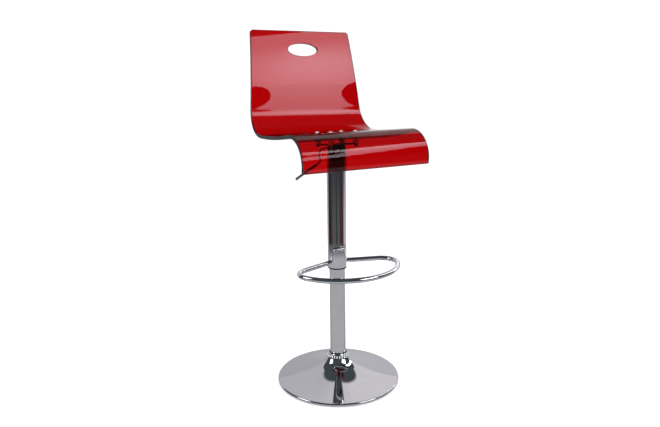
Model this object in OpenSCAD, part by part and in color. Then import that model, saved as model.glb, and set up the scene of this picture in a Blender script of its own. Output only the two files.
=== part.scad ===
// Adjustable swivel stool with a bent acrylic seat, gas lift and footrest loop.
// Millimetres. The origin is on the floor on the column axis, +Z is up,
// the sitter faces -Y and the sitter's right hand is at -X.

/* [Base] */
// Outside diameter of the base dish
base_d = 385; // [340:1:430]
// Height of the dish neck, where the slotted collar sits
neck_z = 74; // [64:1:86]
// Radius of the dish neck
neck_r = 34.5; // [33.5:0.1:38]
// Sheet thickness of the dish
dish_t = 1.6; // [1.2:0.1:2.4]
// Number of slots round the collar
collar_slots = 26; // [16:1:34]
// Thickness of the steel ballast plate
ballast_t = 6; // [4:0.5:6]

/* [Column] */
// Outside diameter of the fixed tube
tube_d = 49.5; // [48:0.1:50]
// Wall of the fixed tube
tube_wall = 2; // [1.5:0.1:2.5]
// Height of the top of the fixed tube
tube_top = 445; // [425:1:480]
// Outside diameter of the lifting sleeve
sleeve_d = 59; // [58:0.1:62]
// Wall of the lifting sleeve
sleeve_wall = 1.8; // [1.2:0.1:2]
// Height of the lower end of the lifting sleeve
sleeve_low = 369; // [350:1:380]
// Diameter of the gas cylinder
cyl_d = 28; // [26:0.1:29]
// Diameter of the piston rod
rod_d = 10; // [9:0.1:11]

/* [Footrest] */
// Height of the footrest tube centre
foot_z = 383.6; // [378:0.1:520]
// Diameter of the footrest tube
foot_tube = 16; // [14:0.1:18]
// Radius of the long front curve, to the tube centre
foot_arc = 178; // [165:1:195]
// Radius of the two corner bends, to the tube centre
foot_bend = 48; // [38:1:56]
// Forward sweep of the two side bars in degrees
foot_sweep = 17.8; // [12:0.1:22]

/* [Seat] */
// Height of the seat surface over the column axis
seat_z = 784.3; // [775:0.1:800]
// Thickness of the acrylic sheet
sheet_t = 10.5; // [8:0.1:12]
// Half width at the top of the backrest
half_top = 174.4; // [160:0.1:185]
// Half width at the back of the seat
half_mid = 201.5; // [190:0.1:210]
// Half width at the front lip
half_lip = 205.1; // [202:0.1:215]
// Length of the backrest along the sheet
back_len = 248.5; // [220:0.1:280]
// Backrest lean at its top edge, degrees from level
back_top = 76.1; // [72:0.1:80]
// Backrest lean where it meets the lower bend
back_low = 84.7; // [82:0.1:87]
// Inside radius of the bend behind the sitter
bend_r = 80.9; // [70:0.1:95]
// Outside radius of the front lip bend
lip_r = 80.9; // [75:0.1:90]
// Direction of the sheet at its front end, degrees
lip_end = 100.2; // [88:0.1:104]
// Width of the hand hole
hole_w = 106; // [90:1:120]
// Height of the hand hole
hole_h = 42; // [35:1:50]
// Distance of the hand hole centre from the top edge
hole_drop = 61; // [50:1:80]

/* [Mounting] */
// Side of the square seat plate
plate_w = 100; // [96:1:120]
// Height of the underside of the seat plate
plate_z = 754.5; // [753:0.1:756]
// Half of the bolt spacing
bolt_at = 42; // [38:0.5:43]

/* [Hidden] */
$fn = 96;

chrome = [0.78, 0.79, 0.82];
steel = [0.55, 0.56, 0.58];
black = [0.08, 0.08, 0.09];
nylon = [0.86, 0.86, 0.83];
acrylic = [0.70, 0.02, 0.04, 0.6];

base_r = base_d / 2;
rim_r = 4.2;
rim_z = 5;
floor_t = 3;
hub_z = floor_t + ballast_t;
tube_r = tube_d / 2;
tube_in = tube_r - tube_wall;
sleeve_r = sleeve_d / 2;
sleeve_in = sleeve_r - sleeve_wall;
sleeve_top = 737;
fit = 0.05;
cyl_r = cyl_d / 2;
cyl_in = cyl_r - 1.5;
cyl_low = 275;
cyl_top = 738;
rod_r = rod_d / 2;
tip_r = 4;
ball_r = 2.4;
ball_ring = 9.2;
ball_z = 31.5;
ball_count = 10;
collar_h = 12.5;
collar_r = 34.8;
bush_r = 27.5;
lever_z = 745;
pivot_x = -20;
pin_r = 1.5;
button_r = 2.5;

// Directions along and square to the sheet for a heading angle, as [y, z].
function along(a) = [-cos(a), -sin(a)];
function under(a) = [sin(a), -cos(a)];

// The seat sheet runs down the backrest, round the bend, over the dish of
// the seat and down the front lip. Every piece is an arc of its upper face.
bow_r = back_len / ((back_low - back_top) * PI / 180);
dish_r = 1190;
dish_back = 0.9;
dish_front = -8.8;
seat_back_y = 104.6;
dish_cy = seat_back_y - dish_r * sin(dish_back);
dish_c = [dish_cy, seat_z + sqrt(dish_r * dish_r - dish_cy * dish_cy)];
p_seat = dish_c + dish_r * under(dish_back);
bend_c = p_seat - bend_r * under(dish_back);
p_bend = bend_c + bend_r * under(back_low);
bow_c = p_bend + bow_r * under(back_low);
p_top = bow_c - bow_r * under(back_top);
p_nose = dish_c + dish_r * under(dish_front);
nose_c = p_nose + lip_r * under(dish_front);
p_lip = nose_c - lip_r * under(lip_end);
lip_len = 4.3;
back_foot_z = 790;

// Base dish curve: a wide outer arc and a tight arc up to the neck.
neck_a = 65;
knee_a = 24;
knee_r = 60;
knee = [neck_r + knee_r * (sin(neck_a) - sin(knee_a)),
        neck_z - knee_r * (cos(knee_a) - cos(neck_a))];
dish_edge = [base_r - 6.2, rim_z + rim_r + 0.4];
edge_a = 2 * atan2(knee[1] - dish_edge[1], dish_edge[0] - knee[0]) - knee_a;
sweep_r = (dish_edge[0] - knee[0]) / (sin(knee_a) - sin(edge_a));
sweep_c = knee + sweep_r * [sin(knee_a), cos(knee_a)];
knee_c = knee + knee_r * [sin(knee_a), cos(knee_a)];

// Strip of a ring between two directions, for bent sheet in section.
// The directions are measured from the arc centre, in degrees.
module arc_strip(c, r_in, r_out, a_from, a_to) {
    reach = r_out * 1.1;
    a_mid = (a_from + a_to) / 2;
    translate(c)
        intersection() {
            difference() {
                circle(r = r_out, $fn = 256);
                circle(r = r_in, $fn = 256);
            }
            polygon([[0, 0],
                     reach * [cos(a_from), sin(a_from)],
                     reach * [cos(a_mid), sin(a_mid)],
                     reach * [cos(a_to), sin(a_to)]]);
        }
}

// Ring with a round bore standing on a height.
module ring(r_out, r_in, z_low, z_high) {
    translate([0, 0, z_low])
        difference() {
            cylinder(r = r_out, h = z_high - z_low);
            translate([0, 0, -1])
                cylinder(r = r_in, h = z_high - z_low + 2);
        }
}

module disc(r, z_low, z_high) {
    translate([0, 0, z_low])
        cylinder(r = r, h = z_high - z_low);
}

// Spread something to the four seat bolt positions.
module at_bolts() {
    for (sx = [-1, 1])
        for (sy = [-1, 1])
            translate([sx * bolt_at, sy * bolt_at, 0])
                children();
}

module hex(across, h) {
    cylinder(r = across / sqrt(3), h = h, $fn = 6);
}

// Long round bar along X, used to shape things to the dish of the seat.
module dish_bar(r) {
    translate([-400, dish_c[0], dish_c[1]])
        rotate([0, 90, 0])
            cylinder(r = r, h = 800, $fn = 256);
}

// Height of the seat surface at a place along Y.
function seat_at(y) = dish_c[1] - sqrt(pow(dish_r, 2) - pow(y - dish_c[0], 2));

// Slope of the seat there, in degrees.
function tilt_at(y) = asin((y - dish_c[0]) / dish_r);

// ---- fixed base ----

module base_disc() {
    color(chrome)
        rotate_extrude() {
            arc_strip(sweep_c, sweep_r, sweep_r + dish_t,
                      -90 - edge_a, -90 - knee_a);
            arc_strip(knee_c, knee_r, knee_r + dish_t,
                      -90 - knee_a, -90 - neck_a);
            translate([base_r - rim_r, rim_z])
                circle(r = rim_r);
            translate([base_r - 12, floor_t])
                square([5, 7]);
        }
}

module ballast_plate() {
    color(steel)
        difference() {
            disc(base_r - 14, floor_t, hub_z);
            disc(12, 0, hub_z + 1);
            for (i = [0 : 3])
                rotate([0, 0, 45 + 90 * i])
                    translate([42, 0, 0])
                        cylinder(r = 4, h = hub_z + 1);
        }
}

module floor_pad() {
    color(black)
        disc(base_r - 8.2, 0, floor_t);
}

module hub_flange() {
    color(steel)
        difference() {
            union() {
                disc(56, hub_z, hub_z + 6);
                disc(tube_in, hub_z + 6, 26);
            }
            disc(tip_r + 0.3, 0, 27);
            disc(10, 0, 17);
            for (i = [0 : 3])
                rotate([0, 0, 45 + 90 * i])
                    translate([42, 0, 0])
                        cylinder(r = 4, h = hub_z + 7);
        }
}

module hub_bolts() {
    color(steel)
        for (i = [0 : 3])
            rotate([0, 0, 45 + 90 * i])
                translate([42, 0, floor_t]) {
                    cylinder(r = 4, h = ballast_t + 7);
                    translate([0, 0, ballast_t + 6])
                        hex(12, 4.5);
                }
}

module stand_tube() {
    color(chrome)
        ring(tube_r, tube_in, hub_z + 6, tube_top);
}

module neck_bush() {
    color(black)
        ring(bush_r, tube_r, neck_z - 14, neck_z + collar_h - 4);
}

module slotted_collar() {
    color(chrome)
        difference() {
            rotate_extrude()
                polygon([[bush_r, neck_z],
                         [collar_r, neck_z],
                         [collar_r, neck_z + collar_h - 2],
                         [collar_r - 2, neck_z + collar_h],
                         [bush_r + 1, neck_z + collar_h],
                         [bush_r, neck_z + collar_h - 1]]);
            for (i = [0 : collar_slots - 1])
                rotate([0, 0, 360 / collar_slots * (i + 0.5)])
                    translate([collar_r - 2.5, -1.9, neck_z + 1.8])
                        cube([5, 3.8, collar_h - 4.6]);
        }
}

module guide_sleeve() {
    color(black)
        difference() {
            union() {
                disc(tube_in, tube_top - 110, tube_top);
                disc(tube_r - 0.5, tube_top, tube_top + 3);
            }
            disc(cyl_r + fit, tube_top - 111, tube_top + 4);
        }
}

// ---- thrust bearing at the foot of the piston rod ----

module lower_race() {
    color(steel)
        difference() {
            ring(13, tip_r + 0.4, 26, 30.5);
            ball_groove();
        }
}

module upper_race() {
    color(steel)
        difference() {
            ring(13, tip_r, 32.5, 37);
            ball_groove();
        }
}

module ball_groove() {
    translate([0, 0, ball_z])
        rotate_extrude()
            translate([ball_ring, 0])
                circle(r = ball_r + 0.1);
}

module ball_cage() {
    color([0.72, 0.60, 0.30])
        difference() {
            ring(12.6, 5.6, ball_z - 0.6, ball_z + 0.6);
            for (i = [0 : ball_count - 1])
                rotate([0, 0, 360 / ball_count * i])
                    translate([ball_ring, 0, ball_z - 2])
                        cylinder(r = ball_r + 0.1, h = 4);
        }
}

module bearing_balls() {
    color(chrome)
        for (i = [0 : ball_count - 1])
            rotate([0, 0, 360 / ball_count * i])
                translate([ball_ring, 0, ball_z])
                    sphere(r = ball_r);
}

// ---- piston rod, which turns but does not lift ----

module piston_rod() {
    color(chrome)
        difference() {
            union() {
                disc(tip_r, 11.5, 39);
                disc(rod_r, 39, 302);
                disc(tip_r, 302, 323);
            }
            ring(6, tip_r - 0.7, 13.3, 14.9);
        }
}

module piston() {
    color(steel)
        difference() {
            disc(cyl_in - fit, 302, 316);
            disc(tip_r, 301, 317);
            ring(cyl_in + 1, cyl_in - 1.6, 307.5, 310.5);
        }
}

module piston_nut() {
    color(steel)
        difference() {
            translate([0, 0, 316])
                hex(13, 5);
            disc(tip_r, 315, 322);
        }
}

module rod_washer() {
    color(steel)
        ring(12, tip_r, 37, 39);
}

module clip_washer() {
    color(steel)
        ring(8.5, tip_r, 14.9, 16.7);
}

module rod_clip() {
    color(steel)
        difference() {
            ring(7.5, tip_r - 0.7, 13.3, 14.9);
            translate([0, -2, 12])
                cube([12, 4, 4]);
        }
}

module rod_bumper() {
    color(black)
        ring(9.5, rod_r, 39, 55);
}

// ---- lifting column ----

module gas_cylinder() {
    color(black)
        difference() {
            union() {
                disc(cyl_r, cyl_low, 700);
                translate([0, 0, 700])
                    cylinder(r1 = cyl_r, r2 = cyl_r - 0.8, h = cyl_top - 700);
            }
            disc(cyl_in, cyl_low - 1, 715);
            disc(button_r + 0.08, 714, cyl_top + 1);
        }
}

module cylinder_gland() {
    color(steel)
        ring(cyl_in, rod_r + fit, cyl_low, cyl_low + 18);
}

module valve_body() {
    color(steel)
        ring(cyl_in, button_r + 0.08, 690, 715);
}

module outer_sleeve() {
    color(chrome)
        ring(sleeve_r, sleeve_in, sleeve_low, sleeve_top);
}

module sleeve_bush() {
    color(black)
        difference() {
            union() {
                disc(sleeve_in, sleeve_low, sleeve_low + 40);
                disc(sleeve_r, sleeve_low - 4, sleeve_low);
            }
            disc(tube_r + fit, sleeve_low - 5, sleeve_low + 41);
        }
}

// Footrest: one tube with two side bars, two corner bends and a front curve.
bar_y = 9.2;
arc_y = -17.5;
bar_dir = [cos(foot_sweep), -sin(foot_sweep)];
bar_in = [-sin(foot_sweep), -cos(foot_sweep)];
bar_o = [0, bar_y] + foot_bend * bar_in - [0, arc_y];
bar_b = 2 * (bar_o * bar_dir);
bar_q = bar_o * bar_o - pow(foot_arc - foot_bend, 2);
bar_len = (-bar_b + sqrt(bar_b * bar_b - 4 * bar_q)) / 2;
bend_at = [0, bar_y] + bar_len * bar_dir + foot_bend * bar_in;
bend_from = 90 - foot_sweep;
bend_to = atan2(bend_at[1] - arc_y, bend_at[0]);

// Stations along the tube centre: place in plan, and direction square to it.
foot_start = [0, bar_y] + (sleeve_in + 1) * bar_dir;
bend_steps = 12;
arc_steps = 36;
foot_sides = 24;
function aim(a) = [cos(a), sin(a)];
function flip(p) = [-p[0], p[1]];
function bend_angle(i) = bend_from + (bend_to - bend_from) * i / bend_steps;
function arc_angle(i) = bend_to - (180 + 2 * bend_to) * i / arc_steps;
foot_line = concat(
    [[foot_start, bend_from]],
    [for (i = [0 : bend_steps])
        [bend_at + foot_bend * aim(bend_angle(i)), bend_angle(i)]],
    [for (i = [1 : arc_steps - 1])
        [[0, arc_y] + foot_arc * aim(arc_angle(i)), arc_angle(i)]],
    [for (i = [bend_steps : -1 : 0])
        [flip(bend_at + foot_bend * aim(bend_angle(i))), 180 - bend_angle(i)]],
    [[flip(foot_start), 180 - bend_from]]);

module foot_tube_solid() {
    m = foot_sides;
    n = len(foot_line);
    polyhedron(
        points = [for (s = foot_line) for (k = [0 : m - 1])
            [s[0][0] + foot_tube / 2 * cos(360 * k / m) * cos(s[1]),
             s[0][1] + foot_tube / 2 * cos(360 * k / m) * sin(s[1]),
             foot_tube / 2 * sin(360 * k / m)]],
        faces = concat(
            [for (j = [0 : n - 2]) for (k = [0 : m - 1])
                [j * m + k, j * m + (k + 1) % m,
                 (j + 1) * m + (k + 1) % m, (j + 1) * m + k]],
            [[for (k = [m - 1 : -1 : 0]) k]],
            [[for (k = [0 : m - 1]) (n - 1) * m + k]]));
}

module footrest() {
    color(chrome)
        translate([0, 0, foot_z])
            difference() {
                foot_tube_solid();
                translate([0, 0, -20])
                    cylinder(r = sleeve_r, h = 40);
            }
}

// ---- under the seat ----

module top_housing() {
    color(black)
        difference() {
            union() {
                disc(sleeve_in, 716, sleeve_top);
                translate([0, 0, sleeve_top])
                    cylinder(r1 = sleeve_r - 0.6, r2 = 24, h = plate_z - sleeve_top);
            }
            translate([0, 0, 700])
                cylinder(r1 = cyl_r, r2 = cyl_r - 0.8, h = cyl_top - 700);
            disc(8, 737, plate_z + 1);
            translate([-40, -4.6, lever_z - 6.5])
                cube([40, 9.2, 20]);
            translate([pivot_x, 20, lever_z])
                rotate([90, 0, 0])
                    cylinder(r = pin_r, h = 40);
        }
}

module lever_pin() {
    color(steel)
        translate([pivot_x, 13, lever_z])
            rotate([90, 0, 0])
                cylinder(r = pin_r, h = 26);
}

module seat_plate() {
    color(black)
        difference() {
            translate([0, 0, plate_z]) {
                linear_extrude(height = 3)
                    difference() {
                        square(plate_w, center = true);
                        for (i = [0 : 3])
                            rotate(90 * i)
                                translate([plate_w / 2, plate_w / 2])
                                    rotate(45)
                                        square([60, 14], center = true);
                    }
            }
            at_bolts()
                translate([0, 0, plate_z - 1])
                    cylinder(r = 3.2, h = 5);
        }
}

// Spacers stop at the underside of the sheet.
module seat_spacers() {
    color(nylon)
        difference() {
            at_bolts()
                ring(9, 3.2, plate_z + 3, plate_z + 40);
            dish_bar(dish_r + sheet_t);
        }
}

module seat_bolts() {
    color(chrome)
        for (sx = [-1, 1])
            for (sy = [-1, 1])
                translate([sx * bolt_at, sy * bolt_at, 0]) {
                    disc(3, plate_z - 8, seat_at(sy * bolt_at) + 3);
                    bolt_head(seat_at(sy * bolt_at) + 2.2);
                }
}

// Low domed head with a driver recess, standing on a height.
module bolt_head(z) {
    translate([0, 0, z])
        difference() {
            intersection() {
                cylinder(r = 6, h = 3.4);
                translate([0, 0, -5.4])
                    sphere(r = 8.8);
            }
            translate([0, 0, 1.4])
                hex(4, 4);
        }
}

// Washers lie on the sloping sheet.
module seat_washers() {
    color(black)
        for (sx = [-1, 1])
            for (sy = [-1, 1])
                translate([sx * bolt_at, sy * bolt_at, seat_at(sy * bolt_at)])
                    rotate([tilt_at(sy * bolt_at), 0, 0])
                        ring(7.5, 3.4, 0.1, 1.3);
}

module seat_nuts() {
    color(steel)
        at_bolts()
            translate([0, 0, plate_z - 6.4])
                difference() {
                    union() {
                        hex(10, 5);
                        translate([0, 0, 5])
                            cylinder(r = 6.2, h = 1.4);
                    }
                    translate([0, 0, -1])
                        cylinder(r = 3, h = 8);
                }
}

// ---- acrylic seat ----

// Points along an arc of the sheet, at the given distance from its centre.
function arc_points(c, r, a_from, a_to, n) =
    [for (i = [0 : n]) c + r * under(a_from + (a_to - a_from) * i / n)];

// Side view of the whole sheet, drawn as [y, z].
module sheet_section() {
    upper = concat(arc_points(bow_c, -bow_r, back_top, back_low, 8),
                   arc_points(bend_c, bend_r, back_low, dish_back, 20),
                   arc_points(dish_c, dish_r, dish_back, dish_front, 8),
                   arc_points(nose_c, -lip_r, dish_front, lip_end, 24),
                   [p_lip + lip_len * along(lip_end)]);
    lower = concat([p_lip + lip_len * along(lip_end) + sheet_t * under(lip_end)],
                   arc_points(nose_c, sheet_t - lip_r, lip_end, dish_front, 24),
                   arc_points(dish_c, dish_r + sheet_t, dish_front, dish_back, 8),
                   arc_points(bend_c, bend_r + sheet_t, dish_back, back_low, 20),
                   arc_points(bow_c, sheet_t - bow_r, back_low, back_top, 8));
    polygon(concat(upper, lower));
}

// Front view outline of the backrest with rounded top corners.
module back_outline() {
    corner = 9;
    lean = atan2(half_mid - half_top, p_top[1] - back_foot_z);
    cx = half_top - corner * (1 + sin(lean)) / cos(lean);
    cz = p_top[1] - corner;
    polygon([[-half_mid, 700], [half_mid, 700],
             [half_mid, back_foot_z],
             [cx + corner * cos(lean), cz + corner * sin(lean)],
             [cx, cz],
             [cx, p_top[1] + 1],
             [-cx, p_top[1] + 1],
             [-cx, cz],
             [-cx - corner * cos(lean), cz + corner * sin(lean)],
             [-half_mid, back_foot_z]]);
    for (s = [-1, 1])
        translate([s * cx, cz])
            circle(r = corner);
}

// Plan outline of the seat, widening towards the lip.
module seat_outline() {
    polygon([[-half_mid, seat_back_y + 3], [half_mid, seat_back_y + 3],
             [half_mid, seat_back_y],
             [half_lip, -base_r], [half_lip, -base_r - 60],
             [-half_lip, -base_r - 60], [-half_lip, -base_r],
             [-half_mid, seat_back_y]]);
}

// Material outside the outlines, which is cut away.
module side_trim() {
    translate([0, seat_back_y + 300, 0])
        rotate([90, 0, 0])
            linear_extrude(height = 300)
                difference() {
                    translate([-250, 710])
                        square([500, 500]);
                    back_outline();
                }
    translate([0, 0, 600])
        linear_extrude(height = 300)
            difference() {
                translate([-250, -base_r - 50])
                    square([500, base_r + 50 + seat_back_y]);
                seat_outline();
            }
}

module hand_hole() {
    mid = p_top + hole_drop * along(back_top + 1);
    translate([0, mid[0], mid[1]])
        rotate([back_top + 1.5, 0, 0])
            translate([0, 0, -30])
                linear_extrude(height = 60)
                    polygon([for (i = [0 : 71])
                             [hole_w / 2 * cos(5 * i), hole_h / 2 * sin(5 * i)]]);
}

module seat_shell() {
    color(acrylic)
        difference() {
            rotate([90, 0, 90])
                translate([0, 0, -half_lip])
                    linear_extrude(height = 2 * half_lip)
                        sheet_section();
            side_trim();
            hand_hole();
            at_bolts()
                translate([0, 0, 700])
                    cylinder(r = 3.3, h = 150);
        }
}

// ---- height lever ----

lever_pts = [[4, lever_z], [-32, lever_z], [-45, lever_z - 0.5],
             [-53, lever_z - 4], [-59.5, lever_z - 12],
             [-61, lever_z - 22], [-58.5, lever_z - 34],
             [-57, lever_z - 42], [-60.5, lever_z - 47.5],
             [-76, lever_z - 56.5]];
grip_from = [-70, lever_z - 53];
grip_to = [-134, lever_z - 89.7];

// Round bar between two [x, z] points in the plane of the lever.
module bar(p, q, r) {
    d = q - p;
    translate([p[0], 0, p[1]])
        rotate([0, atan2(d[0], d[1]), 0])
            cylinder(r = r, h = norm(d));
}

module lever_rod() {
    color(chrome)
        difference() {
            union() {
                for (i = [0 : len(lever_pts) - 2])
                    bar(lever_pts[i], lever_pts[i + 1], 2.75);
                for (p = lever_pts)
                    translate([p[0], 0, p[1]])
                        sphere(r = 2.85);
                translate([pivot_x, 4, lever_z])
                    rotate([90, 0, 0])
                        cylinder(r = 4.5, h = 8);
            }
            translate([pivot_x, 5, lever_z])
                rotate([90, 0, 0])
                    cylinder(r = pin_r + fit, h = 10);
            lever_socket();
        }
}

// Part of the rod that the grip is pressed over stays inside the grip.
module lever_socket() {
    bar(grip_from, grip_to, 4.5);
}

module lever_grip() {
    d = grip_to - grip_from;
    color(chrome)
        translate([grip_from[0], 0, grip_from[1]])
            rotate([0, atan2(d[0], d[1]), 0])
                rotate_extrude()
                    intersection() {
                        union() {
                            square([4.5, norm(d)]);
                            translate([0, norm(d)])
                                circle(r = 4.5);
                        }
                        square([5, norm(d) + 5]);
                    }
}

module release_pin() {
    color(steel)
        disc(button_r, 700, 741.6);
}

base_disc();
ballast_plate();
floor_pad();
hub_flange();
hub_bolts();
stand_tube();
neck_bush();
slotted_collar();
guide_sleeve();
lower_race();
ball_cage();
bearing_balls();
piston_rod();
piston();
piston_nut();
upper_race();
rod_washer();
clip_washer();
rod_clip();
rod_bumper();
gas_cylinder();
cylinder_gland();
valve_body();
outer_sleeve();
sleeve_bush();
footrest();
top_housing();
lever_pin();
seat_plate();
seat_spacers();
seat_bolts();
seat_washers();
seat_nuts();
seat_shell();
lever_rod();
lever_grip();
release_pin();
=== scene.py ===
"""Adjustable swivel stool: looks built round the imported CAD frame, in metres."""
import math

import bmesh
import bpy
from mathutils import Matrix, Vector


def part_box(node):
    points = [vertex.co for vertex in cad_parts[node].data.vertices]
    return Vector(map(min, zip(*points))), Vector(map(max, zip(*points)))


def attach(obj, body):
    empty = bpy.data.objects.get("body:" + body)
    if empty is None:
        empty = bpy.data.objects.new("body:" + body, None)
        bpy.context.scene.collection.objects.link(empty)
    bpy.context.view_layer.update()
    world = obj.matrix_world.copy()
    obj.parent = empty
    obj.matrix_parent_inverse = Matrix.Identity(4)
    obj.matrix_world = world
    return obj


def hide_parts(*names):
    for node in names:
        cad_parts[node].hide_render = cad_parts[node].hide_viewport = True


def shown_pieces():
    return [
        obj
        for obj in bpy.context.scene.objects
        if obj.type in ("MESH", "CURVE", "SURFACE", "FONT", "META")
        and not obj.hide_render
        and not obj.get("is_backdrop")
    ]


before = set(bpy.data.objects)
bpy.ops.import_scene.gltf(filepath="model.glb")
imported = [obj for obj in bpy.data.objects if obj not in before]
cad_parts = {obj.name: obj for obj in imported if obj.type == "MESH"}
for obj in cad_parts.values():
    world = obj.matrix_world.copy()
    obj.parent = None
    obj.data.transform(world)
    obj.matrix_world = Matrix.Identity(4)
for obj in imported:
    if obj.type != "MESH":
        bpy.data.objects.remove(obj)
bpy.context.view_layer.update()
MM = 0.001


# ---------------------------------------------------------------- sizes, in mm
BASE_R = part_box("base_disc")[1].x / MM
SLEEVE_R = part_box("outer_sleeve")[1].x / MM
SHEET_T = 10.5
SEAT_Z = 784.3
HALF_TOP, HALF_MID, HALF_LIP = 174.4, 201.5, 205.1
EDGE_ROUND = 1.1


def sind(a):
    """Sine of an angle in degrees."""
    return math.sin(math.radians(a))


def cosd(a):
    """Cosine of an angle in degrees."""
    return math.cos(math.radians(a))


# ---------------------------------------------------------------- mesh helpers
def piece(name, mesh_or_bm, mats, body, stands_for=()):
    """Link a mesh as a piece riding on a CAD body."""
    mesh = mesh_or_bm
    if isinstance(mesh_or_bm, bmesh.types.BMesh):
        mesh = bpy.data.meshes.new(name)
        mesh_or_bm.to_mesh(mesh)
        mesh_or_bm.free()
    obj = bpy.data.objects.new(name, mesh)
    bpy.context.scene.collection.objects.link(obj)
    for m in mats if isinstance(mats, (list, tuple)) else [mats]:
        mesh.materials.append(m)
    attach(obj, body)
    if stands_for:
        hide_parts(*stands_for)
    return obj


def smooth(bm, sharp_angle=35):
    """Smooth shading that keeps edges sharper than the angle."""
    bmesh.ops.recalc_face_normals(bm, faces=bm.faces)
    limit = math.radians(sharp_angle)
    for f in bm.faces:
        f.smooth = True
    for e in bm.edges:
        e.smooth = len(e.link_faces) == 2 and e.calc_face_angle(0) < limit


def arc(cx, cz, r, a0, a1, n):
    """Points on an arc, angles in degrees from +X, in mm."""
    return [(cx + r * cosd(a0 + (a1 - a0) * i / n), cz + r * sind(a0 + (a1 - a0) * i / n))
            for i in range(n + 1)]


def lathe(profile, sides=192, tilt=None):
    """Ring turned from a closed (r, z) outline in mm about the Z axis."""
    bm = bmesh.new()
    rings = [[bm.verts.new((r * cosd(360 * k / sides) * MM, r * sind(360 * k / sides) * MM,
                            z * MM)) for k in range(sides)] for r, z in profile]
    for a, b in zip(rings, rings[1:] + rings[:1]):
        for k in range(sides):
            k2 = (k + 1) % sides
            bm.faces.new((a[k], b[k], b[k2], a[k2]))
    if tilt is not None:
        bmesh.ops.transform(bm, matrix=tilt, verts=bm.verts)
    return bm


def join(bm, other):
    """Adds another mesh's faces to this one and frees it."""
    mesh = bpy.data.meshes.new("part")
    other.to_mesh(mesh)
    other.free()
    bm.from_mesh(mesh)
    bpy.data.meshes.remove(mesh)


def sweep(stations, sides=32):
    """Closed tube through (point in metres, radius in metres) stations."""
    bm = bmesh.new()
    pts = [p for p, _ in stations]
    normal = None
    rings = []
    for i, (p, r) in enumerate(stations):
        t = (pts[min(i + 1, len(pts) - 1)] - pts[max(i - 1, 0)]).normalized()
        if normal is None:
            normal = t.orthogonal().normalized()
        normal = (normal - t * normal.dot(t)).normalized()
        side = t.cross(normal)
        rings.append([bm.verts.new(pts[i] + (normal * cosd(360 * k / sides)
                                             + side * sind(360 * k / sides)) * r)
                      for k in range(sides)])
    for a, b in zip(rings, rings[1:]):
        for k in range(sides):
            k2 = (k + 1) % sides
            bm.faces.new((a[k], a[k2], b[k2], b[k]))
    bm.faces.new(rings[0][::-1])
    bm.faces.new(rings[-1])
    return bm


# ---------------------------------------------------------------- materials
def new_material(name):
    """Empty Principled material, its tree and its shader."""
    mat = bpy.data.materials.new(name)
    mat.use_nodes = True
    return mat, mat.node_tree, mat.node_tree.nodes["Principled BSDF"]


def noise(tree, scale, detail=4.0, stretch=(1, 1, 1)):
    """Noise in the piece's own coordinates, stretched along an axis if asked."""
    coord = tree.nodes.new("ShaderNodeTexCoord")
    mapping = tree.nodes.new("ShaderNodeMapping")
    mapping.inputs["Scale"].default_value = stretch
    tex = tree.nodes.new("ShaderNodeTexNoise")
    tex.inputs["Scale"].default_value = scale
    tex.inputs["Detail"].default_value = detail
    tree.links.new(coord.outputs["Object"], mapping.inputs["Vector"])
    tree.links.new(mapping.outputs["Vector"], tex.inputs["Vector"])
    return tex.outputs["Fac"]


# Most of a noise texture's values lie in this range.
NOISE_LOW, NOISE_HIGH = 0.3, 0.7


def spread(tree, fac, low, high):
    """Maps a noise value to a range of numbers."""
    node = tree.nodes.new("ShaderNodeMapRange")
    node.inputs["From Min"].default_value = NOISE_LOW
    node.inputs["From Max"].default_value = NOISE_HIGH
    node.inputs["To Min"].default_value = low
    node.inputs["To Max"].default_value = high
    tree.links.new(fac, node.inputs["Value"])
    return node.outputs["Result"]


def tint(tree, fac, dark, light):
    """Colour between two tones, picked by a noise value."""
    node = tree.nodes.new("ShaderNodeValToRGB")
    node.color_ramp.elements[0].position = NOISE_LOW
    node.color_ramp.elements[1].position = NOISE_HIGH
    node.color_ramp.elements[0].color = (*dark, 1)
    node.color_ramp.elements[1].color = (*light, 1)
    tree.links.new(fac, node.inputs["Fac"])
    return node.outputs["Color"]


def bump(tree, bsdf, height, strength, distance):
    """Fine relief, its distance in metres."""
    node = tree.nodes.new("ShaderNodeBump")
    node.inputs["Strength"].default_value = strength
    node.inputs["Distance"].default_value = distance
    tree.links.new(height, node.inputs["Height"])
    tree.links.new(node.outputs["Normal"], bsdf.inputs["Normal"])


PLATING_RELIEF, MOULD_RELIEF = 0.0002, 0.0003


def metal(name, dark, light, rough, grain=(1, 1, 1), grain_scale=120, relief=0.0):
    """Bare or plated metal with a faint uneven polish."""
    mat, tree, bsdf = new_material(name)
    bsdf.inputs["Metallic"].default_value = 1.0
    tone = noise(tree, 35, 5)
    tree.links.new(tint(tree, tone, dark, light), bsdf.inputs["Base Color"])
    polish = noise(tree, grain_scale, 6, grain)
    tree.links.new(spread(tree, polish, *rough), bsdf.inputs["Roughness"])
    if relief:
        bump(tree, bsdf, polish, relief, PLATING_RELIEF)
    return mat


def moulded(name, dark, light, rough, scale, relief):
    """Moulded plastic, rubber or powder coat with a fine grain."""
    mat, tree, bsdf = new_material(name)
    grain = noise(tree, scale, 3)
    tone = noise(tree, 24, 5)
    tree.links.new(tint(tree, tone, dark, light), bsdf.inputs["Base Color"])
    tree.links.new(spread(tree, tone, *rough), bsdf.inputs["Roughness"])
    bump(tree, bsdf, grain, relief, MOULD_RELIEF)
    return mat


ACRYLIC_IOR = 1.49
DYE = (0.885, 0.034, 0.16, 1)
DYE_DENSITY = 650.0


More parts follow.
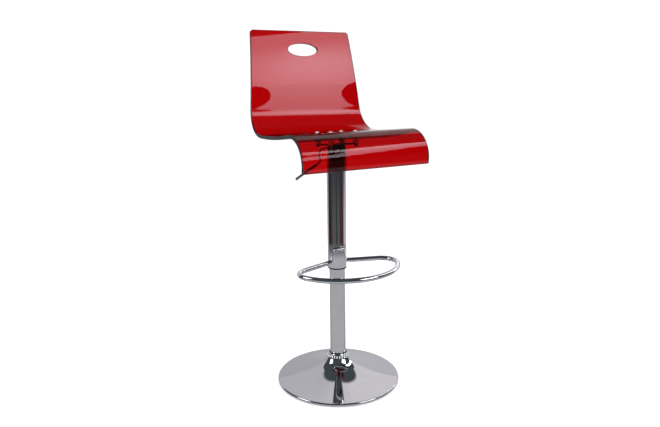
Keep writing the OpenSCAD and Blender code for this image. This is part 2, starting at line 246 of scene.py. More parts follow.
def clear_acrylic():
    """Red see-through sheet: the colour comes from the depth of material."""
    mat, tree, bsdf = new_material("red_acrylic")
    bsdf.inputs["Transmission Weight"].default_value = 1.0
    bsdf.inputs["IOR"].default_value = ACRYLIC_IOR
    haze = noise(tree, 9, 5)
    tree.links.new(tint(tree, haze, (0.97, 0.93, 0.93), (1.0, 0.97, 0.97)),
                   bsdf.inputs["Base Color"])
    tree.links.new(spread(tree, haze, 0.0, 0.003), bsdf.inputs["Roughness"])
    bump(tree, bsdf, noise(tree, 5, 2), 0.06, 0.002)
    volume = tree.nodes.new("ShaderNodeVolumeAbsorption")
    volume.inputs["Color"].default_value = DYE
    volume.inputs["Density"].default_value = DYE_DENSITY
    tree.links.new(volume.outputs["Volume"], tree.nodes["Material Output"].inputs["Volume"])
    return mat


CHROME = metal("chrome", (0.83, 0.84, 0.87), (0.87, 0.88, 0.905), (0.015, 0.04))
SATIN = metal("satin_chrome", (0.80, 0.80, 0.82), (0.86, 0.86, 0.87), (0.05, 0.09),
              (1, 1, 14), 90, 0.002)
# Collar teeth: a pale non-metal finish that paints in the white highlights of chromed teeth.
TEETH_PAINTED_HIGHLIGHT = moulded("teeth_painted_highlight", (0.84, 0.84, 0.86), (0.92, 0.92, 0.94),
                (0.12, 0.2), 300, 0.01)
STEEL = metal("zinc_steel", (0.46, 0.47, 0.48), (0.60, 0.60, 0.60), (0.25, 0.42), relief=0.1)
BRASS = metal("brass", (0.62, 0.43, 0.16), (0.78, 0.57, 0.25), (0.18, 0.32))
BLACK_STEEL = moulded("black_steel", (0.010, 0.010, 0.011), (0.022, 0.022, 0.024),
                      (0.32, 0.48), 900, 0.25)
PLASTIC = moulded("black_plastic", (0.010, 0.010, 0.011), (0.024, 0.024, 0.025),
                  (0.38, 0.52), 1400, 0.15)
RUBBER = moulded("black_rubber", (0.012, 0.012, 0.012), (0.03, 0.03, 0.03),
                 (0.65, 0.85), 700, 0.35)
ACRYLIC = clear_acrylic()
# Seat bolt heads: a mid-grey non-metal finish that paints in the glints of chromed heads.
BOLT_PAINTED_GLINT = moulded("bolt_painted_glint", (0.48, 0.46, 0.47), (0.58, 0.56, 0.57),
               (0.08, 0.14), 300, 0.01)
NYLON = moulded("milky_nylon", (0.80, 0.79, 0.76), (0.88, 0.87, 0.84), (0.35, 0.5), 500, 0.1)

NODE_LOOKS = {
    BOLT_PAINTED_GLINT: ("seat_bolts",),
    NYLON: ("seat_spacers",),
    STEEL: ("ballast_plate", "hub_flange", "hub_bolts", "lower_race", "bearing_balls",
            "piston_rod", "piston", "piston_nut", "upper_race", "rod_washer",
            "clip_washer", "rod_clip", "gas_cylinder", "cylinder_gland", "lever_pin",
            "seat_washers", "seat_nuts", "release_pin"),
    BRASS: ("ball_cage", "valve_body"),
    BLACK_STEEL: ("seat_plate", "top_housing"),
    PLASTIC: ("neck_bush", "guide_sleeve", "sleeve_bush"),
    RUBBER: ("floor_pad", "rod_bumper"),
}


WELD_GAP = 1e-6
BROKEN_EDGE = 0.00035
SHARP_ANGLE = 38


def dress_node(node, mat):
    """Give a CAD node its finish and softly broken edges, sizes in metres."""
    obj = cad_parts[node]
    obj.data.materials.clear()
    obj.data.materials.append(mat)
    for poly in obj.data.polygons:
        poly.use_smooth = True
        poly.material_index = 0
    weld = obj.modifiers.new("weld", "WELD")
    weld.merge_threshold = WELD_GAP
    edge = obj.modifiers.new("edge", "BEVEL")
    edge.width = BROKEN_EDGE
    edge.segments = 2
    edge.limit_method = "ANGLE"
    edge.angle_limit = math.radians(SHARP_ANGLE)
    edge.harden_normals = True
    flat = obj.modifiers.new("flat", "WEIGHTED_NORMAL")
    flat.keep_sharp = True


for look, names in NODE_LOOKS.items():
    for node_name in names:
        dress_node(node_name, look)


# ---------------------------------------------------------------- base dish
# Neck radius and height and the metal's thickness, then the slopes in degrees at both ends
# of the tight arc and its radius, then the rolled rim.
NECK_R, NECK_Z, DISH_T = 34.5, 74.0, 1.6
NECK_A, KNEE_A, KNEE_R = 65.0, 24.0, 60.0
RIM_R, RIM_Z = 4.2, 5.0
RIM_INSET, RIM_LIFT, RIM_START = 6.2, 0.4, 96


def base_dish():
    """Spun dish: a wide outer arc, a tight arc up to the neck and a rolled rim."""
    knee = (NECK_R + KNEE_R * (sind(NECK_A) - sind(KNEE_A)),
            NECK_Z - KNEE_R * (cosd(KNEE_A) - cosd(NECK_A)))
    edge = (BASE_R - RIM_INSET, RIM_Z + RIM_R + RIM_LIFT)
    edge_a = 2 * math.degrees(math.atan2(knee[1] - edge[1], edge[0] - knee[0])) - KNEE_A
    big = (edge[0] - knee[0]) / (sind(KNEE_A) - sind(edge_a))
    sweep_c = (knee[0] + big * sind(KNEE_A), knee[1] + big * cosd(KNEE_A))
    knee_c = (knee[0] + KNEE_R * sind(KNEE_A), knee[1] + KNEE_R * cosd(KNEE_A))
    rim_c = (BASE_R - RIM_R, RIM_Z)
    top = (arc(*knee_c, KNEE_R, -90 - NECK_A, -90 - KNEE_A, 36)
           + arc(*sweep_c, big, -90 - KNEE_A, -90 - edge_a, 48)[1:])
    rim = arc(*rim_c, RIM_R, RIM_START, -180, 30)
    under = (arc(*sweep_c, big + DISH_T, -90 - edge_a, -90 - KNEE_A, 24)
             + arc(*knee_c, KNEE_R + DISH_T, -90 - KNEE_A, -90 - NECK_A, 18)[1:])
    bm = lathe(top + rim + under, 256)
    smooth(bm, 50)
    return bm


piece("base_dish", base_dish(), CHROME, "base", ["base_disc"])


# ---------------------------------------------------------------- column tubes
TUBE_EASE, SHADING_RING = 0.8, 0.5


def tube_profile(outer, inner, low, high):
    """Tube outline with eased outer edges, and a ring near each that keeps the wall flat."""
    low_c, high_c = low + TUBE_EASE, high - TUBE_EASE
    return (arc(outer - TUBE_EASE, low_c, TUBE_EASE, -90, 0, 5)
            + [(outer, low_c + SHADING_RING), (outer, high_c - SHADING_RING)]
            + arc(outer - TUBE_EASE, high_c, TUBE_EASE, 0, 90, 5)
            + [(inner, high), (inner, low)])


def column_tube(name, node, wall, mat, body):
    """One tube of the column, as long and wide as its CAD node."""
    low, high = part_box(node)
    outer = high.x / MM
    bm = lathe(tube_profile(outer, outer - wall, low.z / MM, high.z / MM))
    smooth(bm)
    piece(name, bm, mat, body, [node])


column_tube("stand_column", "stand_tube", 2.0, SATIN, "base")
column_tube("lift_sleeve", "outer_sleeve", 1.8, CHROME, "seat")


# ---------------------------------------------------------------- slotted collar
COLLAR_BORE, COLLAR_SIDES, COLLAR_TEETH = 27.6, 156, 26
LOWER_RING, UPPER_RING, COLLAR_CHAMFER, COLLAR_EASE = 1.8, 2.8, 2.2, 0.3
TOOTH_DEPTH, TOOTH_GAP, TOOTH_EASE, CORE_DEPTH = 4.2, 4.6, 0.35, 4.0


def collar_tooth(turn, outer, low, high):
    """One upright tooth between the collar's rings."""
    wide = 2 * math.pi * outer / COLLAR_TEETH - TOOTH_GAP
    tooth = bmesh.new()
    bmesh.ops.create_cube(tooth, size=1)
    bmesh.ops.scale(tooth, vec=(TOOTH_DEPTH * MM, wide * MM, (high - low + 0.1) * MM),
                    verts=tooth.verts)
    bmesh.ops.bevel(tooth, geom=tooth.edges[:], offset=TOOTH_EASE * MM, segments=3,
                    affect="EDGES", profile=0.5)
    place = Matrix.Translation(((outer - TOOTH_DEPTH / 2) * MM, 0, (low + high) / 2 * MM))
    bmesh.ops.transform(tooth, matrix=Matrix.Rotation(turn, 4, "Z") @ place, verts=tooth.verts)
    return tooth


def toothed_collar():
    """Chromed collar: two plain rings joined by teeth over a black core, which paints shade
    into the slots; the teeth carry a painted highlight.
    """
    box_low, box_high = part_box("slotted_collar")
    outer, z0, z1 = box_high.x / MM, box_low.z / MM, box_high.z / MM
    inner, ease = COLLAR_BORE, COLLAR_EASE
    low, high = z0 + LOWER_RING, z1 - UPPER_RING
    bm = lathe([(inner, z0), (outer - 0.4, z0), (outer, z0 + 0.4),
                (outer, low - ease), (outer - ease, low), (inner, low)], COLLAR_SIDES)
    chamfer = arc(outer - COLLAR_CHAMFER, z1 - COLLAR_CHAMFER, COLLAR_CHAMFER, 0, 90, 6)
    top = lathe([(inner, high), (outer - ease, high), (outer, high + ease)] + chamfer
                + [(inner + 1, z1), (inner, z1 - 1)], COLLAR_SIDES)
    # Black core behind the teeth: painted shade that darkens the slots.
    middle = lathe([(inner, low + 0.01), (outer - CORE_DEPTH, low + 0.01),
                    (outer - CORE_DEPTH, high - 0.01), (inner, high - 0.01)], COLLAR_SIDES)
    for f in middle.faces:
        f.material_index = 1
    join(bm, top)
    join(bm, middle)
    # The teeth take the pale painted-highlight finish in place of chrome.
    for i in range(COLLAR_TEETH):
        tooth = collar_tooth(2 * math.pi * i / COLLAR_TEETH, outer, low, high)
        for f in tooth.faces:
            f.material_index = 2
        join(bm, tooth)
    smooth(bm, 40)
    return bm


piece("toothed_collar", toothed_collar(), [CHROME, PLASTIC, TEETH_PAINTED_HIGHLIGHT], "base",
      ["slotted_collar"])


# ---------------------------------------------------------------- footrest
FOOT_Z = (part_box("footrest")[0].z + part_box("footrest")[1].z) / 2 / MM
FOOT_R = 8.0
BAR_Y, ARC_Y = 9.2, -17.5
FOOT_ARC, FOOT_BEND, FOOT_SWEEP = 178.0, 48.0, 17.8


def footrest_path():
    """Plan of the footrest tube: side bar, corner bend and half of the front arc."""
    along = Vector((cosd(FOOT_SWEEP), -sind(FOOT_SWEEP)))
    inward = Vector((-sind(FOOT_SWEEP), -cosd(FOOT_SWEEP)))
    start = Vector((0, BAR_Y))
    off = start + FOOT_BEND * inward - Vector((0, ARC_Y))
    b = 2 * off.dot(along)
    q = off.dot(off) - (FOOT_ARC - FOOT_BEND) ** 2
    bend_c = start + (-b + math.sqrt(b * b - 4 * q)) / 2 * along + FOOT_BEND * inward
    a_from = 90 - FOOT_SWEEP
    a_to = math.degrees(math.atan2(bend_c.y - ARC_Y, bend_c.x))
    bar_in = start + along * (SLEEVE_R - 1.5)
    bend = arc(bend_c.x, bend_c.y, FOOT_BEND, a_from, a_to, 24)
    bar = [tuple(bar_in.lerp(Vector(bend[0]), i / 8)) for i in range(8)]
    front = arc(0, ARC_Y, FOOT_ARC, a_to, -90, 40)[1:]
    return bar + bend + front


def footrest():
    """Bent tube: two bars from the sleeve, two corner bends and the wide front arc."""
    half = footrest_path()
    plan = half + [(-x, y) for x, y in half[-2::-1]]
    stations = [(Vector((x, y, FOOT_Z)) * MM, FOOT_R * MM) for x, y in plan]
    bm = sweep(stations, 48)
    smooth(bm)
    return bm


piece("footrest_ring", footrest(), CHROME, "seat", ["footrest"])


WELD_INSET, WELD_LENGTH, WELD_LIFT, WELD_FLARE = 3.5, 7.5, 0.1, 1.9


def weld_fillet(side):
    """Small flared weld where a bar meets the sleeve."""
    along = Vector((side * cosd(FOOT_SWEEP), -sind(FOOT_SWEEP), 0))
    start = Vector((0, BAR_Y, FOOT_Z))
    stations = []
    for i in range(9):
        f = i / 8
        out = SLEEVE_R - WELD_INSET + WELD_LENGTH * f
        stations.append(((start + along * out) * MM,
                         (FOOT_R + WELD_LIFT + WELD_FLARE * (1 - f) ** 2) * MM))
    bm = sweep(stations, 48)
    smooth(bm, 60)
    return bm


piece("footrest_weld_left", weld_fillet(1), CHROME, "seat")
piece("footrest_weld_right", weld_fillet(-1), CHROME, "seat")


# ---------------------------------------------------------------- lever
LEVER_Z = 745.0
LEVER = [(4, 0), (-32, 0), (-45, -0.5), (-53, -4), (-59.5, -12), (-61, -22),
         (-58.5, -34), (-57, -42), (-60.5, -47.5), (-76, -56.5)]
LEVER_R, PIVOT_X, BOSS_R, PIN_HOLE_R = 2.75, -20, 4.5, 1.55
GRIP_FROM, GRIP_TO, GRIP_R, GRIP_WAIST = (-70, -53), (-134, -89.7), 4.5, 0.35


def rounded(points):
    """Cuts the corners of an open path of 2-D points three times."""
    pts = [Vector(p) for p in points]
    for _ in range(3):
        cut = [pts[0]]
        for p, q in zip(pts, pts[1:]):
            cut += [p.lerp(q, 0.25), p.lerp(q, 0.75)]
        pts = cut + [pts[-1]]
    return pts


def lever_bar():
    """Bent rod with the boss that turns on the pivot pin."""
    stations = [(Vector((p.x, 0, LEVER_Z + p.y)) * MM, LEVER_R * MM) for p in rounded(LEVER)]
    bm = sweep(stations, 24)
    on_pivot = (Matrix.Translation((PIVOT_X * MM, 0, LEVER_Z * MM))
                @ Matrix.Rotation(math.radians(90), 4, "X"))
    outline = [(PIN_HOLE_R, -4), (BOSS_R - 0.4, -4), (BOSS_R, -3.6),
               (BOSS_R, 3.6), (BOSS_R - 0.4, 4), (PIN_HOLE_R, 4)]
    join(bm, lathe(outline, 48, tilt=on_pivot))
    smooth(bm)
    return bm


def lever_grip():
    """Round-ended handle with a shallow waist and a stepped collar."""
    a = Vector((GRIP_FROM[0], 0, LEVER_Z + GRIP_FROM[1]))
    b = Vector((GRIP_TO[0], 0, LEVER_Z + GRIP_TO[1]))
    d = (b - a).normalized()
    length = (b - a).length
    stations = [(a * MM, 3.6 * MM), ((a + d * 0.6) * MM, 4.2 * MM),
                ((a + d * 1.4) * MM, GRIP_R * MM)]
    for i in range(1, 20):
        f = i / 20
        stations.append(((a + d * length * f) * MM,
                         (GRIP_R - GRIP_WAIST * math.sin(math.pi * f)) * MM))
    for i in range(12):
        ang = 90 * i / 12
        stations.append(((b + d * GRIP_R * sind(ang)) * MM,
                         max(GRIP_R * cosd(ang), 0.05) * MM))
    bm = sweep(stations, 32)
    smooth(bm, 45)
    return bm


piece("lever_bar", lever_bar(), CHROME, "lever", ["lever_rod"])
piece("lever_handle", lever_grip(), CHROME, "lever", ["lever_grip"])


# ---------------------------------------------------------------- acrylic seat
BACK_LEN, BACK_TOP, BACK_LOW = 248.5, 76.1, 84.7
BEND_R, LIP_R, LIP_END, LIP_LEN = 80.9, 80.9, 100.2, 4.3
DISH_R, DISH_BACK, DISH_FRONT, SEAT_BACK_Y = 1190.0, 0.9, -8.8, 104.6
HOLE_W, HOLE_H, HOLE_DROP = 106.0, 42.0, 61.0
TOP_CORNER, LIP_CORNER, BACK_FOOT_Z = 9.0, 3.0, 790.0
BOLT_AT, BOLT_HOLE_R = 42, 3.3


class Sheet:
    """Side view of the sheet as arcs of its upper face, by distance from the top."""

    def __init__(self):
        bow_r = BACK_LEN / math.radians(BACK_LOW - BACK_TOP)
        dish_cy = SEAT_BACK_Y - DISH_R * sind(DISH_BACK)
        dish_c = Vector((dish_cy, SEAT_Z + math.sqrt(DISH_R ** 2 - dish_cy ** 2)))
        p_seat = dish_c + DISH_R * self.under(DISH_BACK)
        bend_c = p_seat - BEND_R * self.under(DISH_BACK)
        p_bend = bend_c + BEND_R * self.under(BACK_LOW)
        bow_c = p_bend + bow_r * self.under(BACK_LOW)
        nose_c = dish_c + DISH_R * self.under(DISH_FRONT) + LIP_R * self.under(DISH_FRONT)
        self.arcs = []
        start = 0.0
        for c, r, a0, a1 in ((bow_c, -bow_r, BACK_TOP, BACK_LOW),
                             (bend_c, BEND_R, BACK_LOW, DISH_BACK),
                             (dish_c, DISH_R, DISH_BACK, DISH_FRONT),
                             (nose_c, -LIP_R, DISH_FRONT, LIP_END)):
            length = abs(r) * math.radians(abs(a1 - a0))
            self.arcs.append((start, start + length, c, r, a0, a1))
            start += length
        self.length = start + LIP_LEN

    @staticmethod
    def under(a):
        """Direction out of the lower face at a heading in degrees."""
        return Vector((sind(a), -cosd(a)))

    @staticmethod
    def along(a):
        """Direction towards the lip at a heading in degrees."""
        return Vector((-cosd(a), -sind(a)))

    def at(self, s):
        """Point [y, z] of the upper face and the heading there."""
        for s0, s1, c, r, a0, a1 in self.arcs:
            if s <= s1:
                a = a0 + (a1 - a0) * (s - s0) / (s1 - s0)
                return c + r * self.under(a), a
        s0, s1, c, r, a0, a1 = self.arcs[-1]
        return c + r * self.under(a1) + (s - s1) * self.along(a1), a1

    def half_width(self, s):
        """Half of the sheet's width at a distance from the top."""
        p, _ = self.at(s)
        if p.x > SEAT_BACK_Y:
            top_z = self.at(0)[0].y
            slope = (HALF_MID - HALF_TOP) / (top_z - BACK_FOOT_Z)
            return min(HALF_MID, HALF_TOP + slope * (top_z - p.y))
        return HALF_MID + (HALF_LIP - HALF_MID) * (SEAT_BACK_Y - p.x) / (SEAT_BACK_Y + BASE_R)

    def distance_at(self, y):
        """Distance from the top of the seat surface above a place along Y."""
        low, high = self.arcs[2][0], self.arcs[2][1]
        for _ in range(40):
            mid = (low + high) / 2
            low, high = (mid, high) if self.at(mid)[0].x > y else (low, mid)
        return (low + high) / 2


def flat_outline(sheet):
    """Outline of the unrolled sheet: rounded top corners, long sides, small lip corners."""
    first = sheet.half_width(TOP_CORNER)
    side = [(first - TOP_CORNER + TOP_CORNER * sind(90 * i / 8),
             TOP_CORNER - TOP_CORNER * cosd(90 * i / 8)) for i in range(9)]
    steps = 60
    for i in range(1, steps):
        s = TOP_CORNER + (sheet.length - LIP_CORNER - TOP_CORNER) * i / steps
        side.append((sheet.half_width(s), s))
    end = sheet.half_width(sheet.length)
    side += [(end - LIP_CORNER + LIP_CORNER * cosd(90 * i / 5),
              sheet.length - LIP_CORNER + LIP_CORNER * sind(90 * i / 5)) for i in range(6)]
    return side + [(-x, s) for x, s in side[::-1]]


def ellipse(cx, cs, rx, rs, n):
    """Closed outline of n points on the unrolled sheet."""
    return [(cx + rx * cosd(360 * i / n), cs + rs * sind(360 * i / n)) for i in range(n)]


def flat_sheet(sheet):
    """Unrolled sheet with its holes and eased edges, as a mesh of the flat plate."""
    loops = [flat_outline(sheet), ellipse(0, HOLE_DROP, HOLE_W / 2, HOLE_H / 2, 72)]
    for y in (BOLT_AT, -BOLT_AT):
        for x in (BOLT_AT, -BOLT_AT):
            loops.append(ellipse(x, sheet.distance_at(y), BOLT_HOLE_R, BOLT_HOLE_R, 24))
    curve = bpy.data.curves.new("flat_sheet", "CURVE")
    curve.dimensions = "2D"
    curve.fill_mode = "BOTH"
    curve.extrude = SHEET_T / 2 - EDGE_ROUND
    curve.bevel_depth = EDGE_ROUND
    curve.bevel_resolution = 2
    curve.offset = -EDGE_ROUND
    for loop in loops:
        spline = curve.splines.new("POLY")
        spline.points.add(len(loop) - 1)
        for pt, (x, s) in zip(spline.points, loop):
            pt.co = (x, -s, 0, 1)
        spline.use_cyclic_u = True
    obj = bpy.data.objects.new("flat_sheet", curve)
    bpy.context.scene.collection.objects.link(obj)
    dg = bpy.context.evaluated_depsgraph_get()
    mesh = bpy.data.meshes.new_from_object(obj.evaluated_get(dg))
    bpy.data.objects.remove(obj)
    bpy.data.curves.remove(curve)
    return mesh


def bent_sheet():
    """Bends the flat plate along the side view and carries its normals with it."""
    sheet = Sheet()
    flat = flat_sheet(sheet)
    bm = bmesh.new()
    bm.from_mesh(flat)
    bpy.data.meshes.remove(flat)
    bmesh.ops.remove_doubles(bm, verts=bm.verts, dist=0.01)
    cuts = []
    for (s0, s1, *_), step in zip(sheet.arcs, (8.0, 2.5, 8.0, 2.5)):
        n = max(1, round((s1 - s0) / step))
        cuts += [s0 + (s1 - s0) * i / n for i in range(1, n + 1)]
    for s in cuts:
        bmesh.ops.bisect_plane(bm, geom=bm.verts[:] + bm.edges[:] + bm.faces[:], dist=1e-4,
                               plane_co=(0, -s, 0), plane_no=(0, 1, 0))
    bmesh.ops.recalc_face_normals(bm, faces=bm.faces)
    bm.normal_update()
    vertex_normal = {}
    for v in bm.verts:
        flats = [f for f in v.link_faces if abs(f.normal.z) > 0.9995]
        if flats:
            vertex_normal[v.index] = Vector((0, 0, 1 if flats[0].normal.z > 0 else -1))
        else:
            total = Vector()
            for f in v.link_faces:
                total += f.normal * f.calc_area()
            vertex_normal[v.index] = total.normalized()
    bm.verts.index_update()
    bm.faces.ensure_lookup_table()
    mesh = bpy.data.meshes.new("seat_sheet")
    for f in bm.faces:
        f.smooth = True
    bm.to_mesh(mesh)
    frames = []
    for v in mesh.vertices:
        p, a = sheet.at(-v.co.y)
        un, al = sheet.under(a), sheet.along(a)
        deep = SHEET_T / 2 - v.co.z
        frames.append((un, al))
        v.co = Vector((v.co.x, p.x + deep * un.x, p.y + deep * un.y)) * MM
    normals = []
    for loop in mesh.loops:
        n = vertex_normal[loop.vertex_index]
        un, al = frames[loop.vertex_index]
        turned = -n.y * al - n.z * un
        normals.append(Vector((n.x, turned.x, turned.y)).normalized())
    bm.free()
    mesh.normals_split_custom_set(normals)
    mesh.validate()
    return mesh


piece("seat_sheet", bent_sheet(), ACRYLIC, "seat", ["seat_shell"])


# ---------------------------------------------------------------- camera
CAM_AT = Vector((-0.90024, -1.60334, 0.93416))
CAM_RIGHT = Vector((0.877356, -0.479694, -0.011855))
CAM_UP = Vector((0.093172, 0.146071, 0.984877))
CAM_LOOK = Vector((0.470708, 0.865192, -0.172850))


def add_camera():
    """Photographer's camera, its focal length and sensor width in millimetres."""
    data = bpy.data.cameras.new("camera")
    data.lens = 33.3033
    data.sensor_width = 36
    data.shift_x, data.shift_y = 0.002336, -0.036186
    data.clip_start, data.clip_end = 0.05, 100
    cam = bpy.data.objects.new("camera", data)
    cam.matrix_world = Matrix((CAM_RIGHT, CAM_UP, -CAM_LOOK)).transposed().to_4x4()
    cam.location = CAM_AT
    bpy.context.scene.collection.objects.link(cam)
    bpy.context.scene.camera = cam


# ---------------------------------------------------------------- studio
# Level directions of the studio: to its right, and out to its front.
SIDE = Vector((0.8772, -0.4796, 0)).normalized()
TOWARD = Vector((-0.4780, -0.8784, 0)).normalized()


def emitter(name, strength, colour=(1, 1, 1)):
    """Glowing material of a light panel."""
    mat = bpy.data.materials.new(name)
    mat.use_nodes = True
    tree = mat.node_tree
    tree.nodes.clear()
    glow = tree.nodes.new("ShaderNodeEmission")
    glow.inputs["Strength"].default_value = strength
    glow.inputs["Color"].default_value = (*colour, 1)
    out = tree.nodes.new("ShaderNodeOutputMaterial")
    tree.links.new(glow.outputs[0], out.inputs["Surface"])
    return mat


def reflected_only(obj):
    """The panel shows in reflections and nowhere else."""
    obj.visible_camera = False
    obj.visible_diffuse = False
    obj.visible_transmission = False
    obj.visible_volume_scatter = False
    obj.visible_shadow = False


def lit_only(panel, names):
    """The panel shows only in these pieces, as a flagged studio light does."""
    group = bpy.data.collections.new(panel.name + "_lights")
    for name in names:
        group.objects.link(bpy.data.objects[name])
    panel.light_linking.receiver_collection = group


def vary_glow(panel, operation, other, span, strengths, interpolation="LINEAR"):
    """Runs the panel's brightness over a measure of the place on it."""
    tree = panel.active_material.node_tree
    place = tree.nodes.new("ShaderNodeNewGeometry")
    measure = tree.nodes.new("ShaderNodeVectorMath")
    measure.operation = operation
    measure.inputs[1].default_value = other
    tree.links.new(place.outputs["Position"], measure.inputs[0])
    fade = tree.nodes.new("ShaderNodeMapRange")
    fade.interpolation_type = interpolation
    fade.inputs["From Min"].default_value, fade.inputs["From Max"].default_value = span
    fade.inputs["To Min"].default_value, fade.inputs["To Max"].default_value = strengths
    tree.links.new(measure.outputs["Value"], fade.inputs["Value"])
    tree.links.new(fade.outputs["Result"], tree.nodes["Emission"].inputs["Strength"])


def fade_along(panel, way, span, strengths):
    """Runs the panel's brightness from one side to the other."""
    vary_glow(panel, "DOT_PRODUCT", way, span, strengths)


def hot_spot(panel, centre, radius, strengths):
    """Brighter middle, as a bare flash tube behind the cloth gives."""
    vary_glow(panel, "DISTANCE", centre, (0.0, radius), strengths, "SMOOTHSTEP")


def card(name, corner, across, up, outline, strength, colour=(1, 1, 1)):
    """Flat light panel seen only in reflections. The outline is in metres on its plane."""
    bm = bmesh.new()
    verts = [bm.verts.new(corner + across * h + up * v) for h, v in outline]
    bm.faces.new(verts)
    mesh = bpy.data.meshes.new(name)
    bm.to_mesh(mesh)
    bm.free()
    obj = bpy.data.objects.new(name, mesh)
    bpy.context.scene.collection.objects.link(obj)
    mesh.materials.append(emitter(name, strength, colour))
    reflected_only(obj)
    obj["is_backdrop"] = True
    return obj


# The key softbox's plane in metres: middle of its lower end, a point up its middle, and across.
KEY_LOW = Vector((0.305, -0.384, 0.945))
KEY_HIGH = Vector((0.657, -1.046, 1.875))
KEY_ACROSS = Vector((0.883, 0.469, 0))
KEY_HALF, KEY_TOP = 0.75, 1.22


def key_softbox():
    """Large softbox leaning over the front of the stool, with flags at its lower end."""
    up = (KEY_HIGH - KEY_LOW).normalized()
    # The flags on both sides leave a rounded notch in the lit cloth.
    left_notch = [(-KEY_HALF, 0.27), (-0.24, 0.262), (-0.20, 0.24), (-0.178, 0.20),
                  (-0.17, 0.15), (-0.176, 0.10), (-0.20, 0.05), (-0.24, 0.015),
                  (-KEY_HALF, 0.0)]
    right_notch = [(KEY_HALF, -0.09), (0.23, -0.08), (0.19, -0.04), (0.16, 0.0),
                   (0.145, 0.04), (0.14, 0.08), (0.145, 0.12), (0.16, 0.16),
                   (0.19, 0.195), (0.23, 0.215), (KEY_HALF, 0.225)]
    lower_edge = [(-KEY_HALF, -0.16), (-0.25, -0.15), (0.0, -0.10), (0.23, -0.17),
                  (KEY_HALF, -0.18)]
    outline = ([(-KEY_HALF, KEY_TOP)] + left_notch + lower_edge + right_notch
               + [(KEY_HALF, KEY_TOP)])
    panel = card("key_softbox", KEY_LOW, KEY_ACROSS, up, outline, 3.0, (1.0, 0.97, 1.08))
    hot_spot(panel, KEY_LOW + up * 0.48 + KEY_ACROSS * 0.06, 0.55, (5.4, 2.6))
    lit_only(panel, ["seat_sheet"])


SCREEN_AWAY, SCREEN_HALF, SCREEN_LOW, SCREEN_HIGH = 1.25, 2.6, -0.6, 0.66


def low_screen():
    """Grey screen standing behind the base, which its dish shows."""
    outline = [(-SCREEN_HALF, SCREEN_LOW), (SCREEN_HALF, SCREEN_LOW),
               (SCREEN_HALF, SCREEN_HIGH), (-SCREEN_HALF, SCREEN_HIGH)]
    panel = card("low_screen", -TOWARD * SCREEN_AWAY, SIDE, Vector((0, 0, 1)), outline,
                 1.0, (1.0, 0.99, 1.04))
    fade_along(panel, SIDE, (-0.30, 0.25), (0.41, 0.50))


BOX_AWAY = 2.3


def side_softboxes():
    """Boxes round the front that show as highlights in the chrome."""
    chrome = [o.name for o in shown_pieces() if o.name != "seat_sheet"]
    for name, toward, side, height, wide, tall, roll in (
            ("left_box", 0.30, -0.77, 0.53, 0.85, 0.85, 0),
            ("front_box", 0.46, 0.68, 0.57, 1.15, 0.80, 0),
            ("right_strip", -0.24, 0.76, 0.58, 0.36, 2.3, 40)):
        out = (TOWARD * toward + SIDE * side + Vector((0, 0, height))).normalized()
        across = out.cross(Vector((0, 0, 1))).normalized()
        up = across.cross(out).normalized()
        turn = Matrix.Rotation(math.radians(roll), 3, out)
        across, up = turn @ across, turn @ up
        outline = [(-wide / 2, -tall / 2), (wide / 2, -tall / 2), (wide / 2, tall / 2),
                   (-wide / 2, tall / 2)]
        panel = card(name, out * BOX_AWAY, across, up, outline, 3.0)
        lit_only(panel, chrome)


FLOOR_RADIUS, FLOOR_GAP = 300, 0.0003


def floor():
    """White studio floor that reaches the horizon."""
    mat, tree, bsdf = new_material("floor")
    tone = noise(tree, 3, 2)
    tree.links.new(tint(tree, tone, (0.985, 0.985, 0.985), (0.995, 0.995, 0.995)),
                   bsdf.inputs["Base Color"])
    bsdf.inputs["Roughness"].default_value = 0.9
    bm = bmesh.new()
    bmesh.ops.create_circle(bm, cap_ends=True, segments=96, radius=FLOOR_RADIUS)
    mesh = bpy.data.meshes.new("floor")
    bm.to_mesh(mesh)
    bm.free()
    obj = bpy.data.objects.new("floor", mesh)
    obj.location.z = -FLOOR_GAP
    obj.visible_glossy = False
    mesh.materials.append(mat)
    bpy.context.scene.collection.objects.link(obj)
    obj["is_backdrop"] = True


def fill_light():
    """Large soft lamp over the stool, in metres and watts."""
    data = bpy.data.lights.new("overhead", "AREA")
    data.shape = "SQUARE"
    data.size = 2.6
    data.energy = 60
    light = bpy.data.objects.new("overhead", data)
    light.location = (0.2, 0.3, 3.0)
    light.visible_glossy = False
    light.visible_transmission = False
    light.visible_camera = False
    bpy.context.scene.collection.objects.link(light)


# Brightness of the studio as the polished parts see it.
FLAG = TOWARD + 0.08 * SIDE + Vector((0, 0, 0.42))
STUDIO_WHITE = (1.10, 1.10, 1.10)
DARK = (0.050, 0.062, 0.066)
SWEEP_LEFT = (0.60, 0.57, 0.60)
SWEEP_RIGHT = (1.05, 1.05, 1.06)
SWEEP_HIGH_LEFT = (0.48, 0.47, 0.495)
SWEEP_HIGH_RIGHT = (0.645, 0.615, 0.64)
FLOOR_EDGE = (0.12, 0.12, 0.13)
FLOOR_NEAR = (0.43, 0.43, 0.45)
FLOOR_FAR = (0.25, 0.25, 0.26)
ROOM_HIGH = (0.028, 0.034, 0.040)
# The room round the studio, by the angle in degrees from its front towards its right.
ROOM = [(-180, (0.80, 0.80, 0.82)), (-160, (0.40, 0.39, 0.40)), (-148, (0.03, 0.025, 0.025)),
        (-84, (0.02, 0.015, 0.015)), (-62, (0.09, 0.045, 0.035)), (-45, (0.085, 0.093, 0.10)),
        (-12, (0.085, 0.093, 0.10)), (-5, (0.01, 0.01, 0.01)), (6, (0.085, 0.093, 0.10)),
        (30, (0.085, 0.09, 0.095)), (42, (0.07, 0.028, 0.02)), (78, (0.06, 0.03, 0.03)),
        (92, (0.35, 0.33, 0.34)), (120, (0.65, 0.63, 0.65)), (180, (0.80, 0.80, 0.82))]


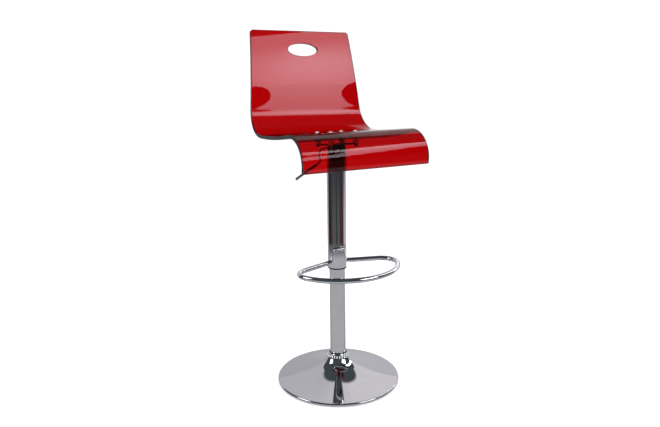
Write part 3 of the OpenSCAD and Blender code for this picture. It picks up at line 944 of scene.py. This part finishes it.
class Nodes:
    """Short names for the world's node tree."""

    def __init__(self, tree):
        self.tree = tree

    def add(self, kind, **settings):
        """New node with some of its settings."""
        node = self.tree.nodes.new(kind)
        for key, value in settings.items():
            setattr(node, key, value)
        return node

    def dot(self, vec, axis):
        """How far a direction points along an axis."""
        node = self.add("ShaderNodeVectorMath", operation="DOT_PRODUCT")
        self.tree.links.new(vec, node.inputs[0])
        node.inputs[1].default_value = axis
        return node.outputs["Value"]

    def math(self, op, a, b=None):
        """One operation on sockets or numbers."""
        node = self.add("ShaderNodeMath", operation=op)
        for socket, value in zip(node.inputs, (a, b)):
            if isinstance(value, (int, float)):
                socket.default_value = value
            elif value is not None:
                self.tree.links.new(value, socket)
        return node.outputs[0]

    def step(self, value, start, end):
        """Soft step from 0 at the start to 1 at the end."""
        node = self.add("ShaderNodeMapRange", interpolation_type="SMOOTHSTEP")
        node.inputs["From Min"].default_value = start
        node.inputs["From Max"].default_value = end
        self.tree.links.new(value, node.inputs["Value"])
        return node.outputs["Result"]

    def mix(self, fac, a, b):
        """Colour between two colours."""
        node = self.add("ShaderNodeMix", data_type="RGBA")
        self.tree.links.new(fac, node.inputs["Factor"])
        for socket, value in ((node.inputs[6], a), (node.inputs[7], b)):
            if isinstance(value, tuple):
                socket.default_value = (*value, 1)
            else:
                self.tree.links.new(value, socket)
        return node.outputs[2]

    def ramp(self, fac, stops):
        """Colour by place along the (place, colour) stops."""
        node = self.add("ShaderNodeValToRGB")
        points = node.color_ramp.elements
        while len(points) < len(stops):
            points.new(0.5)
        for point, (where, colour) in zip(points, stops):
            point.position = where
            point.color = (*colour, 1)
        self.tree.links.new(fac, node.inputs["Fac"])
        return node.outputs["Color"]


def studio_world():
    """White studio. Polished parts see a grey sweep, a dark half and the room's floor."""
    world = bpy.data.worlds.new("studio")
    world.use_nodes = True
    bpy.context.scene.world = world
    n = Nodes(world.node_tree)
    background = world.node_tree.nodes["Background"]
    way = n.add("ShaderNodeTexCoord").outputs["Generated"]
    height = n.dot(way, (0, 0, 1))
    toward = n.dot(way, TOWARD)
    side = n.dot(way, SIDE)
    turn = n.math("ADD", n.math("DIVIDE", n.math("ARCTAN2", side, toward), 2 * math.pi), 0.5)
    low_sweep = n.mix(n.step(side, -0.12, 0.10), SWEEP_LEFT, SWEEP_RIGHT)
    high_sweep = n.mix(n.step(side, -0.25, 0.22), SWEEP_HIGH_LEFT, SWEEP_HIGH_RIGHT)
    sweep_tone = n.mix(n.step(height, 0.30, 0.43), low_sweep, high_sweep)
    flag = n.math("ADD", n.dot(way, FLAG), n.math("MULTIPLY", n.math("ABSOLUTE", side), 0.5))
    upper = n.mix(n.step(flag, -0.03, 0.03), sweep_tone, DARK)
    room = n.ramp(turn, [((a + 180) / 360, c) for a, c in ROOM])
    room = n.mix(n.step(height, -0.09, -0.25), ROOM_HIGH, room)
    far_floor = n.mix(n.step(toward, -0.80, -0.92), room, low_sweep)
    shaded = n.mix(n.step(toward, 0.0, -0.90), FLOOR_NEAR, FLOOR_FAR)
    near_floor = n.mix(n.step(height, -0.268, -0.285), FLOOR_EDGE, shaded)
    lower = n.mix(n.step(height, -0.258, -0.264), far_floor, near_floor)
    mirror = n.mix(n.step(height, -0.03, 0.03), lower, upper)
    path = n.add("ShaderNodeLightPath")
    glossy = n.math("MINIMUM", path.outputs["Glossy Depth"], 1)
    seen = n.mix(glossy, STUDIO_WHITE, mirror)
    world.node_tree.links.new(seen, background.inputs["Color"])
    background.inputs["Strength"].default_value = 1.0


add_camera()
studio_world()
floor()
fill_light()
key_softbox()
low_screen()
side_softboxes()
bpy.context.scene.view_settings.view_transform = "Standard"
